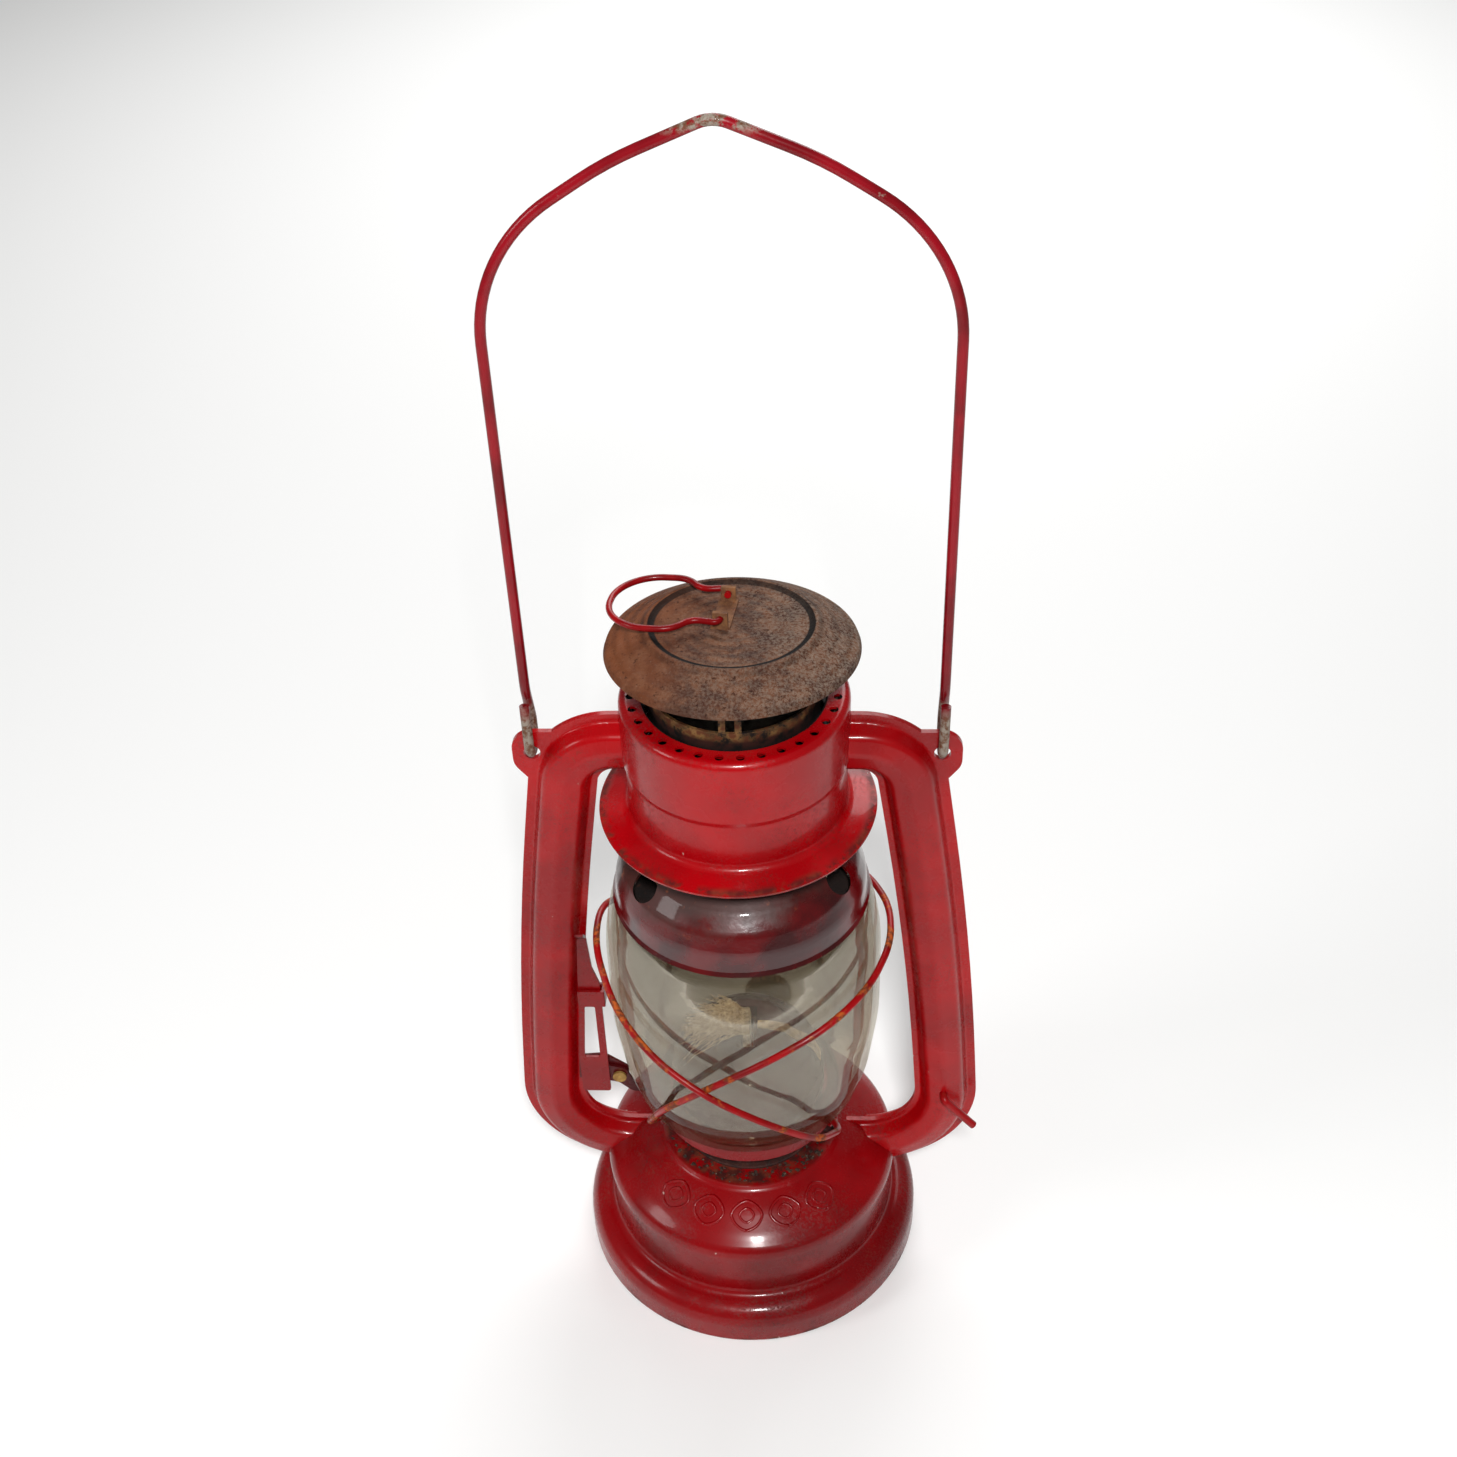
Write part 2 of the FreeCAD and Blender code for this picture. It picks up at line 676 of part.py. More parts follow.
def build_burner():
    body_radius = size["burner_radius"]
    plug = [
        (17.4, 44.0), (18.9, 44.0), (18.9, 54.0), (21.4, 54.0), (21.4, 54.8, 0.3), (body_radius, 54.8),
        (body_radius, 64.0), (body_radius - 0.8, 64.0), (body_radius - 0.8, 46.0), (17.4, 46.0),
    ]
    shell = turned("burner_shell", plug)
    shaft_start = Vector(size["shaft_offset"].value, 10, size["shaft_level"].value)
    shaft_hole = cylinder("shaft_hole", size["shaft_radius"] + 0.08, 12, shaft_start, Y_AXIS)
    sub_part(cut("burner_cut", shell, [shaft_hole]), "burner_base")

    diffuser_line = [(body_radius, 61.0), (body_radius + 0.8, 63.6, 0.8), (22.8, 66.4, 1.0), (22.8, 68.4)]
    diffuser = pressed("diffuser", diffuser_line, metal="right")
    holes = []
    hole_count = 16
    for i in range(hole_count):
        holes.append(cylinder(f"air_hole_{i}", 1.1, 8, around(20.4, 360 / hole_count * i, 61.5)))
    sub_part(cut("diffuser_cut", diffuser, holes), "air_diffuser")

    cone_line = [
        (size["cone_radius"], 66.8), (size["cone_radius"], 75.0, 6.0), (21.0, 83.0, 9.0), (12.0, 90.0, 9.0),
        (0, size["cone_top"]),
    ]
    cone = pressed("cone", cone_line)
    slot = box("flame_slot", (-3.0, -8.6, 80.0), (3.0, 8.6, 92.0))
    sub_part(cut("cone_cut", cone, [slot]), "burner_cone")

    deck_line = [(0, 46.0), (body_radius - 0.8, 46.0), (body_radius - 0.8, 46.8), (0, 46.8)]
    deck = turned("deck", deck_line)
    wide = size["wick_width"].value / 2
    thin = size["wick_thickness"].value / 2
    tube_blank = box("wick_tube_blank", (-thin - 0.9, -wide - 0.9, 40.0), (thin + 0.9, wide + 0.9, 86.0))
    channel = box("wick_channel", (-thin - 0.3, -wide - 0.3, 38.0), (thin + 0.3, wide + 0.3, 88.0))
    window = box("sprocket_window", (thin, -5.4, 51.0), (thin + 2.0, 5.4, 61.4))
    deck_slot = box("deck_slot", (-thin - 0.9, -wide - 0.9, 45.0), (thin + 0.9, wide + 0.9, 48.0))
    sub_part(cut("deck_cut", deck, [deck_slot]), "burner_deck")
    sub_part(cut("wick_tube_cut", tube_blank, [channel, window]), "wick_tube")

    ribbon = box("wick_ribbon", (-thin, -wide, 20.0), (thin, wide, 90.6))
    sub_part(ribbon, "wick")


def build_wick_drive():
    """The cross shaft with two star wheels on the wick's face and a knob behind the globe."""
    axis_x = size["shaft_offset"].value
    level = size["shaft_level"].value
    rod = cylinder("shaft_rod", size["shaft_radius"], 53.4, Vector(axis_x, -5.6, level), Y_AXIS)
    sub_part(rod, "wick_shaft")

    wheels = []
    tooth_count = 10
    for y in (-4.2, 2.8):
        disc = cylinder(f"star_disc_{y:.0f}", size["sprocket_radius"], 1.4, Vector(axis_x, y, level), Y_AXIS)
        bore_start = Vector(axis_x, y - 1, level)
        notches = [cylinder(f"star_bore_{y:.0f}", size["shaft_radius"], 4, bore_start, Y_AXIS)]
        for i in range(tooth_count):
            angle = 2 * math.pi * (i + 0.5) / tooth_count
            reach = size["sprocket_radius"].value + 0.1
            place = Vector(axis_x + reach * math.cos(angle), y - 1, level + reach * math.sin(angle))
            notches.append(cylinder(f"notch_{y:.0f}_{i}", 0.75, 4, place, Y_AXIS))
        wheels.append(cut(f"star_{y:.0f}", disc, notches))
    stars = doc.addObject("Part::Compound", "stars")
    stars.Links = wheels
    sub_part(stars, "wick_sprockets")

    knob_start = 44.0
    knob = doc.addObject("PartDesign::Body", "knob_body")
    face = attach(knob, "knob_face", "XY_Plane")
    scallops = 24
    outer = size["knob_radius"].value
    points = []
    for i in range(2 * scallops):
        angle = math.pi * i / scallops
        radius = outer if i % 2 == 0 else outer - 0.5
        points.append((radius * math.cos(angle), radius * math.sin(angle)))
    draw(face, points)
    bore = face.addGeometry(Part.Circle(Vector(), Z_AXIS, size["shaft_radius"].value), False)
    number = face.addConstraint(Sketcher.Constraint("Radius", bore, size["shaft_radius"].value))
    face.setExpression(f"Constraints[{number}]", size["shaft_radius"].expression)
    disc = knob.newObject("PartDesign::Pad", "knob_disc")
    disc.Profile = face
    disc.Length = 3.2
    knob.Placement = FreeCAD.Placement(Vector(axis_x, knob_start, level), Rotation(Z_AXIS, Y_AXIS))
    sub_part(knob, "wick_knob")


# ---------------------------------------------------------------- globe lifter

CRANK_PIVOT = Vector(-41.5, 0, 69.0)
LEVER_PIN = Vector(-49.0, 0, 71.4)
BRACKET_FACE = 0.8
CRANK_FACE = 1.9
LEVER_FACE = 3.0


def build_lifter():
    """A strap that slides down along the left tube, a crank that it rocks, and what guides them."""
    skin = size["sheet_metal"]
    pivot = (CRANK_PIVOT.x, CRANK_PIVOT.z)
    bracket_outline = [
        (-54.8, 66.4), (-54.2, 77.0, 1.0), (-46.0, 78.0, 3.0), (-38.6, 72.0, 2.0), (-38.6, 66.4, 1.5),
    ]
    bracket = extruded("bracket", "XZ_Plane", bracket_outline, BRACKET_FACE, skin, [(*pivot, 1.5)])
    sub_part(bracket, "lever_bracket")

    crank_outline = [
        (-52.4, 75.4, 1.0), (-46.0, 74.0, 2.0), (-39.4, 72.0, 2.4), (-36.4, 64.3, 1.6), (-31.2, 64.4, 0.8),
        (-31.4, 61.6, 1.0), (-37.6, 61.2, 3.0), (-42.0, 65.6, 2.0), (-46.6, 66.8, 2.0), (-53.4, 68.0, 1.0),
    ]
    crank = extruded("crank", "XZ_Plane", crank_outline, CRANK_FACE, skin, [(*pivot, 1.56)])
    fork = box("fork_slot", (-12.6, -4.0, -1.9), (-5.8, 0.0, 1.9))
    fork.Placement = FreeCAD.Placement(CRANK_PIVOT, Rotation(Y_AXIS, 18.0)) * fork.Placement
    sub_part(cut("crank_cut", crank, [fork]), "lift_crank")

    rivet_shank = cylinder("rivet_shank", 1.5, 2.1, CRANK_PIVOT + Vector(0, -BRACKET_FACE, 0), -Y_AXIS)
    rivet_head = cylinder("rivet_head", 2.2, 0.8, CRANK_PIVOT + Vector(0, -BRACKET_FACE - 2.1, 0), -Y_AXIS)
    sub_part(fused("rivet", [rivet_shank, rivet_head]), "crank_rivet")

    lever_outline = [
        (-50.2, 133.0, 1.2), (-47.4, 133.0, 1.0), (-46.6, 120.0, 4.0), (-44.7, 113.0, 3.0),
        (-44.7, 62.6, 1.0), (-53.6, 62.6, 1.0), (-53.9, 80.0, 8.0), (-51.9, 104.0, 20.0),
        (-51.2, 118.0, 20.0),
    ]
    lever = extruded("lever_plate", "XZ_Plane", lever_outline, LEVER_FACE, skin)
    gap_outline = [(-50.2, 102.6, 0.6), (-47.0, 102.6, 0.6), (-47.0, 79.0, 0.6), (-52.0, 79.0, 0.6)]
    gap = extruded("lever_gap", "XZ_Plane", gap_outline, LEVER_FACE - 1, 3)
    pin = cylinder("lever_pin", 1.2, 1.1, LEVER_PIN + Vector(0, -CRANK_FACE, 0), -Y_AXIS)
    flange_outline = [(-44.7, -3.0), (-43.9, -3.0), (-43.9, -9.0, 0.4), (-44.7, -9.0, 0.4)]
    tab_outline = [(-3.0, 133.0), (-3.8, 133.0), (-7.6, 137.6, 0.3), (-7.0, 138.1, 0.3), (-3.0, 133.6)]
    thumb = extruded("thumb_tab", "YZ_Plane", tab_outline, -50.0, 2.4)
    sub_part(fused("lever", [cut("lever_cut", lever, [gap]), pin, thumb]), "globe_lever")

    keeper_outline = [
        (-51.8, -0.8), (-43.4, -0.8), (-43.4, -5.0, 0.4), (-51.8, -5.0), (-51.8, -4.2), (-44.2, -4.2),
        (-44.2, -1.6), (-51.8, -1.6),
    ]
    sub_part(extruded("keeper", "XY_Plane", keeper_outline, 104.0, 6.6), "lever_keeper")


# ---------------------------------------------------------------- bail and hinge wire


def build_bail():
    """The carrying bail: a bow of wire that hooks through both ears and turns back up."""
    leg = size["bail_leg"].value
    eye = size["bail_eye_radius"].value
    pivot = size["ear_top"].value - 2.5
    half = [
        (Vector(leg + 0.3, -2.6, 222.0), 0), (Vector(leg, -eye, pivot - eye), eye),
        (Vector(leg, eye, pivot - eye), eye), (Vector(leg, eye, 213.0), 7.0), (Vector(leg, 0, 226.0), 14.0),
        (Vector(leg, 0, 353.5), 43.0), (Vector(24.0, 0, 374.8), 90.0),
    ]
    mirror = [(Vector(-p.x, p.y, p.z), r) for p, r in reversed(half)]
    corners = half + [(Vector(0, 0, 384.9), 9.0)] + mirror
    points = [corner[0] for corner in corners]
    radii = [corner[1] for corner in corners]
    sub_part(bent_rod("bail_rod", points, radii, size["bail_wire"].value), "bail")


def build_hinge_wire():
    """The stub of wire clinched through the right tube, bent over its front and cut off."""
    points = [HINGE_HOLE, HINGE_HOLE + Vector(0, -7.0, 0.0), Vector(72.4, -9.6, 54.6)]
    stub = bent_rod("hinge_stub", points, [0, 1.6, 0], size["hinge_wire"].value)
    sub_part(stub, "hinge_wire")


build_tank()
build_filler()
build_crown()
build_tubes()
build_chimney()
build_cap()
build_bell()
build_spring()
build_globe()
build_plate()
build_guards()
build_burner()
build_wick_drive()
build_lifter()
build_bail()
build_hinge_wire()
doc.recompute()

for obj in doc.Objects:
    if "Invalid" in obj.State or "Error" in obj.State:
        raise RuntimeError(f"{obj.Name}: {obj.State}")
for piece in SUB_PARTS:
    if piece.Shape.isNull() or not piece.Shape.isValid():
        raise RuntimeError(f"{piece.Label}: no valid shape")

os.makedirs("parts", exist_ok=True)
for piece in SUB_PARTS:
    piece.Shape.exportStep(f"parts/{piece.Label}.step")
print(len(SUB_PARTS), "sub-parts written")
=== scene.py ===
import math
import random

import bpy
import numpy as np
from mathutils import Matrix, Vector


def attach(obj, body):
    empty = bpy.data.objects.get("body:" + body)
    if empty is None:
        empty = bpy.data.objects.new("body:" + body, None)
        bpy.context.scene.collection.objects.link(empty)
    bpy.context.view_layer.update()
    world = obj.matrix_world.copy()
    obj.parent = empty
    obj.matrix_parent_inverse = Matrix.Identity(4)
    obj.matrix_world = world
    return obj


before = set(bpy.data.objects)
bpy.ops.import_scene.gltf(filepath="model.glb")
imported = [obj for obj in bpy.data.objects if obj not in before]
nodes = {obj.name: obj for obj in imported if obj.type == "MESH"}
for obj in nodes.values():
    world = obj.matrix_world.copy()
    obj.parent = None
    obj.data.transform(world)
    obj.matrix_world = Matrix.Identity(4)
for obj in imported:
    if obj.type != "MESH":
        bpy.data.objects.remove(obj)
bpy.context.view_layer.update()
MM = 0.001


# ---------------------------------------------------------------- node graphs


class Graph:
    """A material's node graph; textures are read at the piece's own coordinates, in metres."""

    def __init__(self, name):
        self.material = bpy.data.materials.new(name)
        self.material.use_nodes = True
        self.tree = self.material.node_tree
        self.tree.nodes.clear()
        self.coordinates = self.node("ShaderNodeTexCoord").outputs["Object"]

    def node(self, kind, **settings):
        """A new node of a kind, with its settings made."""
        made = self.tree.nodes.new(kind)
        for name, value in settings.items():
            setattr(made, name, value)
        return made

    def plug(self, socket, value):
        """Feeds a socket from another socket, or sets it to a constant."""
        if isinstance(value, bpy.types.NodeSocket):
            self.tree.links.new(value, socket)
        else:
            socket.default_value = value

    def noise(self, size_mm, detail=4.0, roughness=0.55):
        """Cloudy values about 0.5 whose features are size_mm across."""
        made = self.node("ShaderNodeTexNoise")
        self.plug(made.inputs["Vector"], self.coordinates)
        made.inputs["Scale"].default_value = 1000.0 / size_mm
        made.inputs["Detail"].default_value = detail
        made.inputs["Roughness"].default_value = roughness
        return made.outputs["Fac"]

    def ramp(self, value, low, high):
        """0 below low, 1 above high, smooth between; low above high turns it round."""
        made = self.node("ShaderNodeMapRange", interpolation_type="SMOOTHSTEP")
        self.plug(made.inputs["Value"], value)
        start, end = (0.0, 1.0) if low < high else (1.0, 0.0)
        made.inputs["From Min"].default_value = min(low, high)
        made.inputs["From Max"].default_value = max(low, high)
        made.inputs["To Min"].default_value = start
        made.inputs["To Max"].default_value = end
        return made.outputs["Result"]

    def math(self, operation, a, b=0.0):
        """One arithmetic operation on sockets or numbers."""
        made = self.node("ShaderNodeMath", operation=operation)
        self.plug(made.inputs[0], a)
        self.plug(made.inputs[1], b)
        return made.outputs[0]

    def mix(self, factor, a, b):
        """Colour a where factor is 0, colour b where it is 1."""
        made = self.node("ShaderNodeMix", data_type="RGBA")
        self.plug(made.inputs[0], factor)
        self.plug(made.inputs[6], a)
        self.plug(made.inputs[7], b)
        return made.outputs[2]

    def blend(self, factor, a, b):
        """Number a where factor is 0, number b where it is 1."""
        made = self.node("ShaderNodeMix", data_type="FLOAT")
        self.plug(made.inputs[0], factor)
        self.plug(made.inputs[2], a)
        self.plug(made.inputs[3], b)
        return made.outputs[0]

    def place(self):
        """Height and distance from the lantern's axis, both in millimetres."""
        split = self.node("ShaderNodeSeparateXYZ")
        self.plug(split.inputs[0], self.coordinates)
        x, y, z = split.outputs
        squares = self.math("ADD", self.math("MULTIPLY", x, x), self.math("MULTIPLY", y, y))
        radius = self.math("SQRT", squares)
        return self.math("MULTIPLY", z, 1000.0), self.math("MULTIPLY", radius, 1000.0)

    def inside(self):
        """1 on faces that look towards the lantern's axis or straight down, 0 on its outside."""
        normal = self.node("ShaderNodeNewGeometry").outputs["Normal"]
        split = self.node("ShaderNodeSeparateXYZ")
        self.plug(split.inputs[0], self.coordinates)
        flat = self.node("ShaderNodeCombineXYZ")
        self.plug(flat.inputs[0], split.outputs[0])
        self.plug(flat.inputs[1], split.outputs[1])
        out = self.node("ShaderNodeVectorMath", operation="NORMALIZE")
        self.plug(out.inputs[0], flat.outputs[0])
        facing = self.node("ShaderNodeVectorMath", operation="DOT_PRODUCT")
        self.plug(facing.inputs[0], out.outputs[0])
        self.plug(facing.inputs[1], normal)
        up = self.node("ShaderNodeSeparateXYZ")
        self.plug(up.inputs[0], normal)
        inward = self.ramp(facing.outputs["Value"], -0.15, -0.45)
        return self.math("MAXIMUM", inward, self.ramp(up.outputs[2], -0.6, -0.85))

    def bump(self, height, strength, distance_mm):
        """A normal tilted by a height; strength 0 to 1, distance the depth of the relief."""
        made = self.node("ShaderNodeBump")
        self.plug(made.inputs["Height"], height)
        made.inputs["Strength"].default_value = strength
        made.inputs["Distance"].default_value = distance_mm * MM
        return made.outputs["Normal"]

    def surface(self, colour, rough, normal=None, **constants):
        """Finishes the material with one principled shader; an underscore in a name is a space."""
        shader = self.node("ShaderNodeBsdfPrincipled")
        self.plug(shader.inputs["Base Color"], colour)
        self.plug(shader.inputs["Roughness"], rough)
        if normal is not None:
            self.plug(shader.inputs["Normal"], normal)
        for name, value in constants.items():
            self.plug(shader.inputs[name.replace("_", " ")], value)
        output = self.node("ShaderNodeOutputMaterial")
        self.tree.links.new(shader.outputs[0], output.inputs["Surface"])
        return self.material


def colour(red, green, blue):
    """A linear colour from display values 0..255."""
    return tuple((c / 255.0) ** 2.2 for c in (red, green, blue)) + (1.0,)


CAP_RING = 23.6  # radius of the cap's pressed ring, in millimetres
WIRE_FOOT = (222.0, 228.0)  # heights between which the bail's paint gives way to bare metal
GLASS_INDEX = 1.45

RUST = colour(100, 52, 34)
ORANGE_RUST = colour(178, 84, 34)
GRIME = colour(46, 24, 20)
SOOT = colour(20, 16, 15)


def enamel(name, bright, deep, rust_below=None, rust_band=None, wear=0.5, coat=0.2, sooty=False):
    """Glossy paint: two tones, dirt specks, rust in patches and, if given, along a rim or band."""
    g = Graph(name)
    paint = g.mix(g.ramp(g.noise(38, 3), 0.35, 0.68), bright, deep)
    specks = g.ramp(g.noise(1.5, 5, 0.7), 0.74 - 0.1 * wear, 0.80 - 0.1 * wear)
    patches = g.ramp(g.noise(15, 5, 0.65), 0.72 - 0.1 * wear, 0.80 - 0.1 * wear)
    grain = g.ramp(g.noise(1.0, 5, 0.75), 0.40, 0.62)
    rust = g.math("MULTIPLY", patches, grain)
    height, radius = g.place()
    if rust_below is not None:
        broken = g.ramp(g.noise(6, 5, 0.7), 0.42, 0.62)
        low = g.math("MULTIPLY", g.ramp(height, rust_below, rust_below - 2.5), broken)
        rust = g.math("MAXIMUM", rust, low)
    if rust_band is not None:
        start, end = rust_band
        inside = g.math("MULTIPLY", g.ramp(radius, start, start + 3.0), g.ramp(radius, end, end - 3.0))
        rust = g.math("MAXIMUM", rust, g.math("MULTIPLY", inside, g.ramp(g.noise(5, 6, 0.75), 0.40, 0.56)))
    freckles = g.ramp(g.noise(0.8, 4, 0.8), 0.50, 0.62)
    dusty = g.math("MULTIPLY", g.ramp(g.noise(17, 4), 0.42, 0.62), freckles)
    specks = g.math("MAXIMUM", specks, g.math("MULTIPLY", dusty, 0.35 + 0.45 * wear))
    grime = g.math("MAXIMUM", g.math("MULTIPLY", specks, 0.75), g.math("MULTIPLY", rust, 0.9))
    rust_tone = g.mix(g.ramp(g.noise(4, 3), 0.42, 0.7), GRIME, RUST)
    tone = g.mix(grime, paint, rust_tone)
    chips = g.ramp(g.noise(2.4, 2, 0.4), 0.785, 0.80)
    tone = g.mix(g.math("MULTIPLY", chips, 0.8), tone, colour(196, 178, 168))
    rough = g.blend(grime, g.blend(g.noise(10, 4), 0.20, 0.34), 0.8)
    if sooty:
        soot = g.inside()
        tone = g.mix(soot, tone, SOOT)
        rough = g.blend(soot, rough, 0.9)
    relief = g.math("ADD", g.math("MULTIPLY", g.noise(26, 2), 0.5), g.math("MULTIPLY", grime, 0.35))
    normal = g.bump(relief, 0.45, 0.35)
    return g.surface(tone, rough, normal, Coat_Weight=coat, Coat_Roughness=0.09, Specular_IOR_Level=0.22)


def rusted(name, light, dark, spots, scale_mm=9.0, dust=0.25):
    """Bare sheet rusted through: mottled browns, orange spots, pale dust, a rough grain."""
    g = Graph(name)
    tone = g.mix(g.ramp(g.noise(scale_mm, 6, 0.7), 0.36, 0.66), dark, light)
    tone = g.mix(g.ramp(g.noise(scale_mm * 0.45, 5, 0.7), 0.60, 0.72), tone, spots)
    powder = g.math("MULTIPLY", g.ramp(g.noise(0.9, 4, 0.8), 0.55, 0.72), dust)
    tone = g.mix(powder, tone, colour(196, 178, 160))
    pits = g.math("MULTIPLY", g.ramp(g.noise(1.3, 4, 0.7), 0.42, 0.30), 0.75)
    tone = g.mix(pits, tone, colour(44, 26, 20))
    grain = g.math("ADD", g.noise(0.8, 5, 0.8), g.math("MULTIPLY", g.noise(5, 4), 1.4))
    return g.surface(tone, g.blend(g.noise(3, 3), 0.62, 0.9), g.bump(grain, 0.7, 0.3), Metallic=0.15)


def wire_paint(name, rust_share):
    """Thin red paint on wire, worn to rust in runs."""
    g = Graph(name)
    paint = g.mix(g.ramp(g.noise(14, 2), 0.4, 0.6), colour(150, 14, 20), colour(114, 11, 16))
    runs = g.ramp(g.noise(7, 5, 0.7), 0.72 - rust_share * 0.3, 0.80 - rust_share * 0.3)
    tone = g.mix(runs, paint, g.mix(g.ramp(g.noise(1.4, 4), 0.4, 0.6), RUST, ORANGE_RUST))
    bump = g.bump(g.noise(1.2, 4, 0.7), 0.4, 0.15)
    return g.surface(tone, g.blend(runs, 0.3, 0.8), bump, Coat_Weight=0.08, Specular_IOR_Level=0.2)


def bail_paint():
    """Red wire whose hooked ends have worn to grey metal and rust."""
    g = Graph("bail_paint")
    height, _ = g.place()
    paint = g.mix(g.ramp(g.noise(22, 3), 0.4, 0.62), colour(138, 18, 30), colour(108, 13, 22))
    low, high = WIRE_FOOT
    bare = g.ramp(g.math("ADD", height, g.math("MULTIPLY", g.noise(5, 4), 10.0)), high, low)
    tip = g.math("MULTIPLY", g.ramp(height, 380.6, 383.4), g.ramp(g.noise(3, 4, 0.7), 0.42, 0.55))
    scuffs = g.ramp(g.noise(6, 5, 0.75), 0.66, 0.74)
    metal = g.mix(g.ramp(g.noise(2, 4, 0.7), 0.42, 0.6), colour(140, 130, 118), colour(96, 62, 42))
    worn = g.math("MAXIMUM", g.math("MAXIMUM", bare, tip), g.math("MULTIPLY", scuffs, 0.7))
    tone = g.mix(worn, paint, metal)
    bump = g.bump(g.noise(1.5, 4), 0.3, 0.12)
    return g.surface(tone, g.blend(worn, 0.26, 0.55), bump, Coat_Weight=0.08, Specular_IOR_Level=0.25)


def chimney_finish():
    """Sooted inner tube: black low down, brassy brown edges and posts round the windows."""
    g = Graph("chimney_finish")
    height, _ = g.place()
    band = g.math("MULTIPLY", g.ramp(height, 222.0, 227.0), g.ramp(g.noise(4, 5, 0.7), 0.36, 0.58))
    brass = g.mix(g.ramp(g.noise(2, 4), 0.4, 0.6), colour(150, 112, 66), colour(96, 56, 32))
    brown = g.mix(g.ramp(height, 226.0, 228.0), colour(58, 26, 18), brass)
    outer = g.math("MULTIPLY", band, g.math("SUBTRACT", 1.0, g.inside()))
    tone = g.mix(outer, SOOT, brown)
    normal = g.bump(g.noise(1.2, 4), 0.4, 0.2)
    return g.surface(tone, g.blend(g.noise(4, 3), 0.5, 0.8), normal, Metallic=0.2)


def cap_finish():
    """Rusted cap: orange brown towards -X, pale dust towards +X, and painted shade darkening its pressed
    ring and rim edge.
    """
    g = Graph("cap_finish")
    split = g.node("ShaderNodeSeparateXYZ")
    g.plug(split.inputs[0], g.coordinates)
    _, radius = g.place()
    wander = g.math("MULTIPLY", g.noise(14, 4), 0.030)
    across = g.math("ADD", g.math("MULTIPLY", split.outputs[0], 0.7), wander)
    brown = g.mix(g.ramp(g.noise(7, 6, 0.7), 0.38, 0.62), colour(72, 44, 34), colour(112, 74, 54))
    brown = g.mix(g.math("MULTIPLY", g.ramp(across, 0.014, -0.012), 0.75), brown, colour(132, 74, 42))
    dusty = g.math("MULTIPLY", g.ramp(across, -0.004, 0.040), g.ramp(g.noise(0.8, 6, 0.8), 0.42, 0.60))
    sprinkle = g.math("MULTIPLY", g.ramp(g.noise(0.8, 4, 0.8), 0.60, 0.72), 0.45)
    tone = g.mix(g.math("MAXIMUM", g.math("MULTIPLY", dusty, 0.75), sprinkle), brown, colour(142, 128, 114))
    pits = g.math("MULTIPLY", g.ramp(g.noise(1.6, 5, 0.75), 0.44, 0.34), 0.7)
    tone = g.mix(pits, tone, colour(36, 22, 17))
    # Painted shade: the pressed ring and the rim edge are darkened where the groove and the turned-down rim
    # fall into shade.
    from_ring = g.math("ABSOLUTE", g.math("SUBTRACT", radius, CAP_RING))
    ring_and_rim_shade = g.math("MAXIMUM", g.ramp(from_ring, 1.1, 0.2), g.ramp(radius, 32.2, 34.0))
    share = g.math("MULTIPLY", g.ramp(g.noise(5, 5), 0.35, 0.7), 0.45)
    tone = g.mix(g.math("MULTIPLY", ring_and_rim_shade, share), tone, colour(46, 27, 20))
    tone = g.mix(g.inside(), tone, SOOT)
    pressed = g.math("MULTIPLY", g.math("SINE", g.math("MULTIPLY", radius, 1.7)), 0.8)
    grain = g.math("ADD", g.noise(0.8, 5, 0.8), g.math("ADD", g.noise(4, 4), pressed))
    rough = g.blend(g.noise(3, 3), 0.65, 0.9)
    return g.surface(tone, rough, g.bump(grain, 0.85, 0.5), Specular_IOR_Level=0.2)


def bell_finish():
    """Dark red enamel under a brown bloom that thickens upwards and towards -X."""
    g = Graph("bell_finish")
    height, _ = g.place()
    paint = g.mix(g.ramp(g.noise(20, 3), 0.4, 0.6), colour(92, 11, 16), colour(56, 9, 12))
    high = g.math("ADD", height, g.math("MULTIPLY", g.noise(11, 5, 0.7), 18.0))
    split = g.node("ShaderNodeSeparateXYZ")
    g.plug(split.inputs[0], g.coordinates)
    leftward = g.math("MULTIPLY", split.outputs[0], -160.0)
    bloom = g.math("MULTIPLY", g.ramp(g.math("ADD", high, leftward), 172.0, 182.0), 0.85)
    spots = g.ramp(g.noise(3.5, 5, 0.7), 0.60, 0.72)
    tone = g.mix(bloom, paint, g.mix(spots, colour(58, 30, 22), colour(140, 72, 34)))
    tone = g.mix(g.inside(), tone, SOOT)
    normal = g.bump(g.noise(2.0, 4), 0.35, 0.2)
    return g.surface(tone, g.blend(bloom, 0.2, 0.62), normal, Coat_Weight=0.3, Coat_Roughness=0.07)


def tarnished(name, light, dark, soot):
    """Dull bare metal in two tones, with soot over part of it."""
    g = Graph(name)
    tone = g.mix(g.ramp(g.noise(5, 5, 0.65), 0.38, 0.64), dark, light)
    tone = g.mix(g.math("MULTIPLY", g.ramp(g.noise(2.2, 5, 0.7), 0.46, 0.62), soot), tone, SOOT)
    normal = g.bump(g.noise(1.1, 4), 0.3, 0.15)
    return g.surface(tone, g.blend(g.noise(3, 3), 0.35, 0.7), normal, Metallic=0.6)


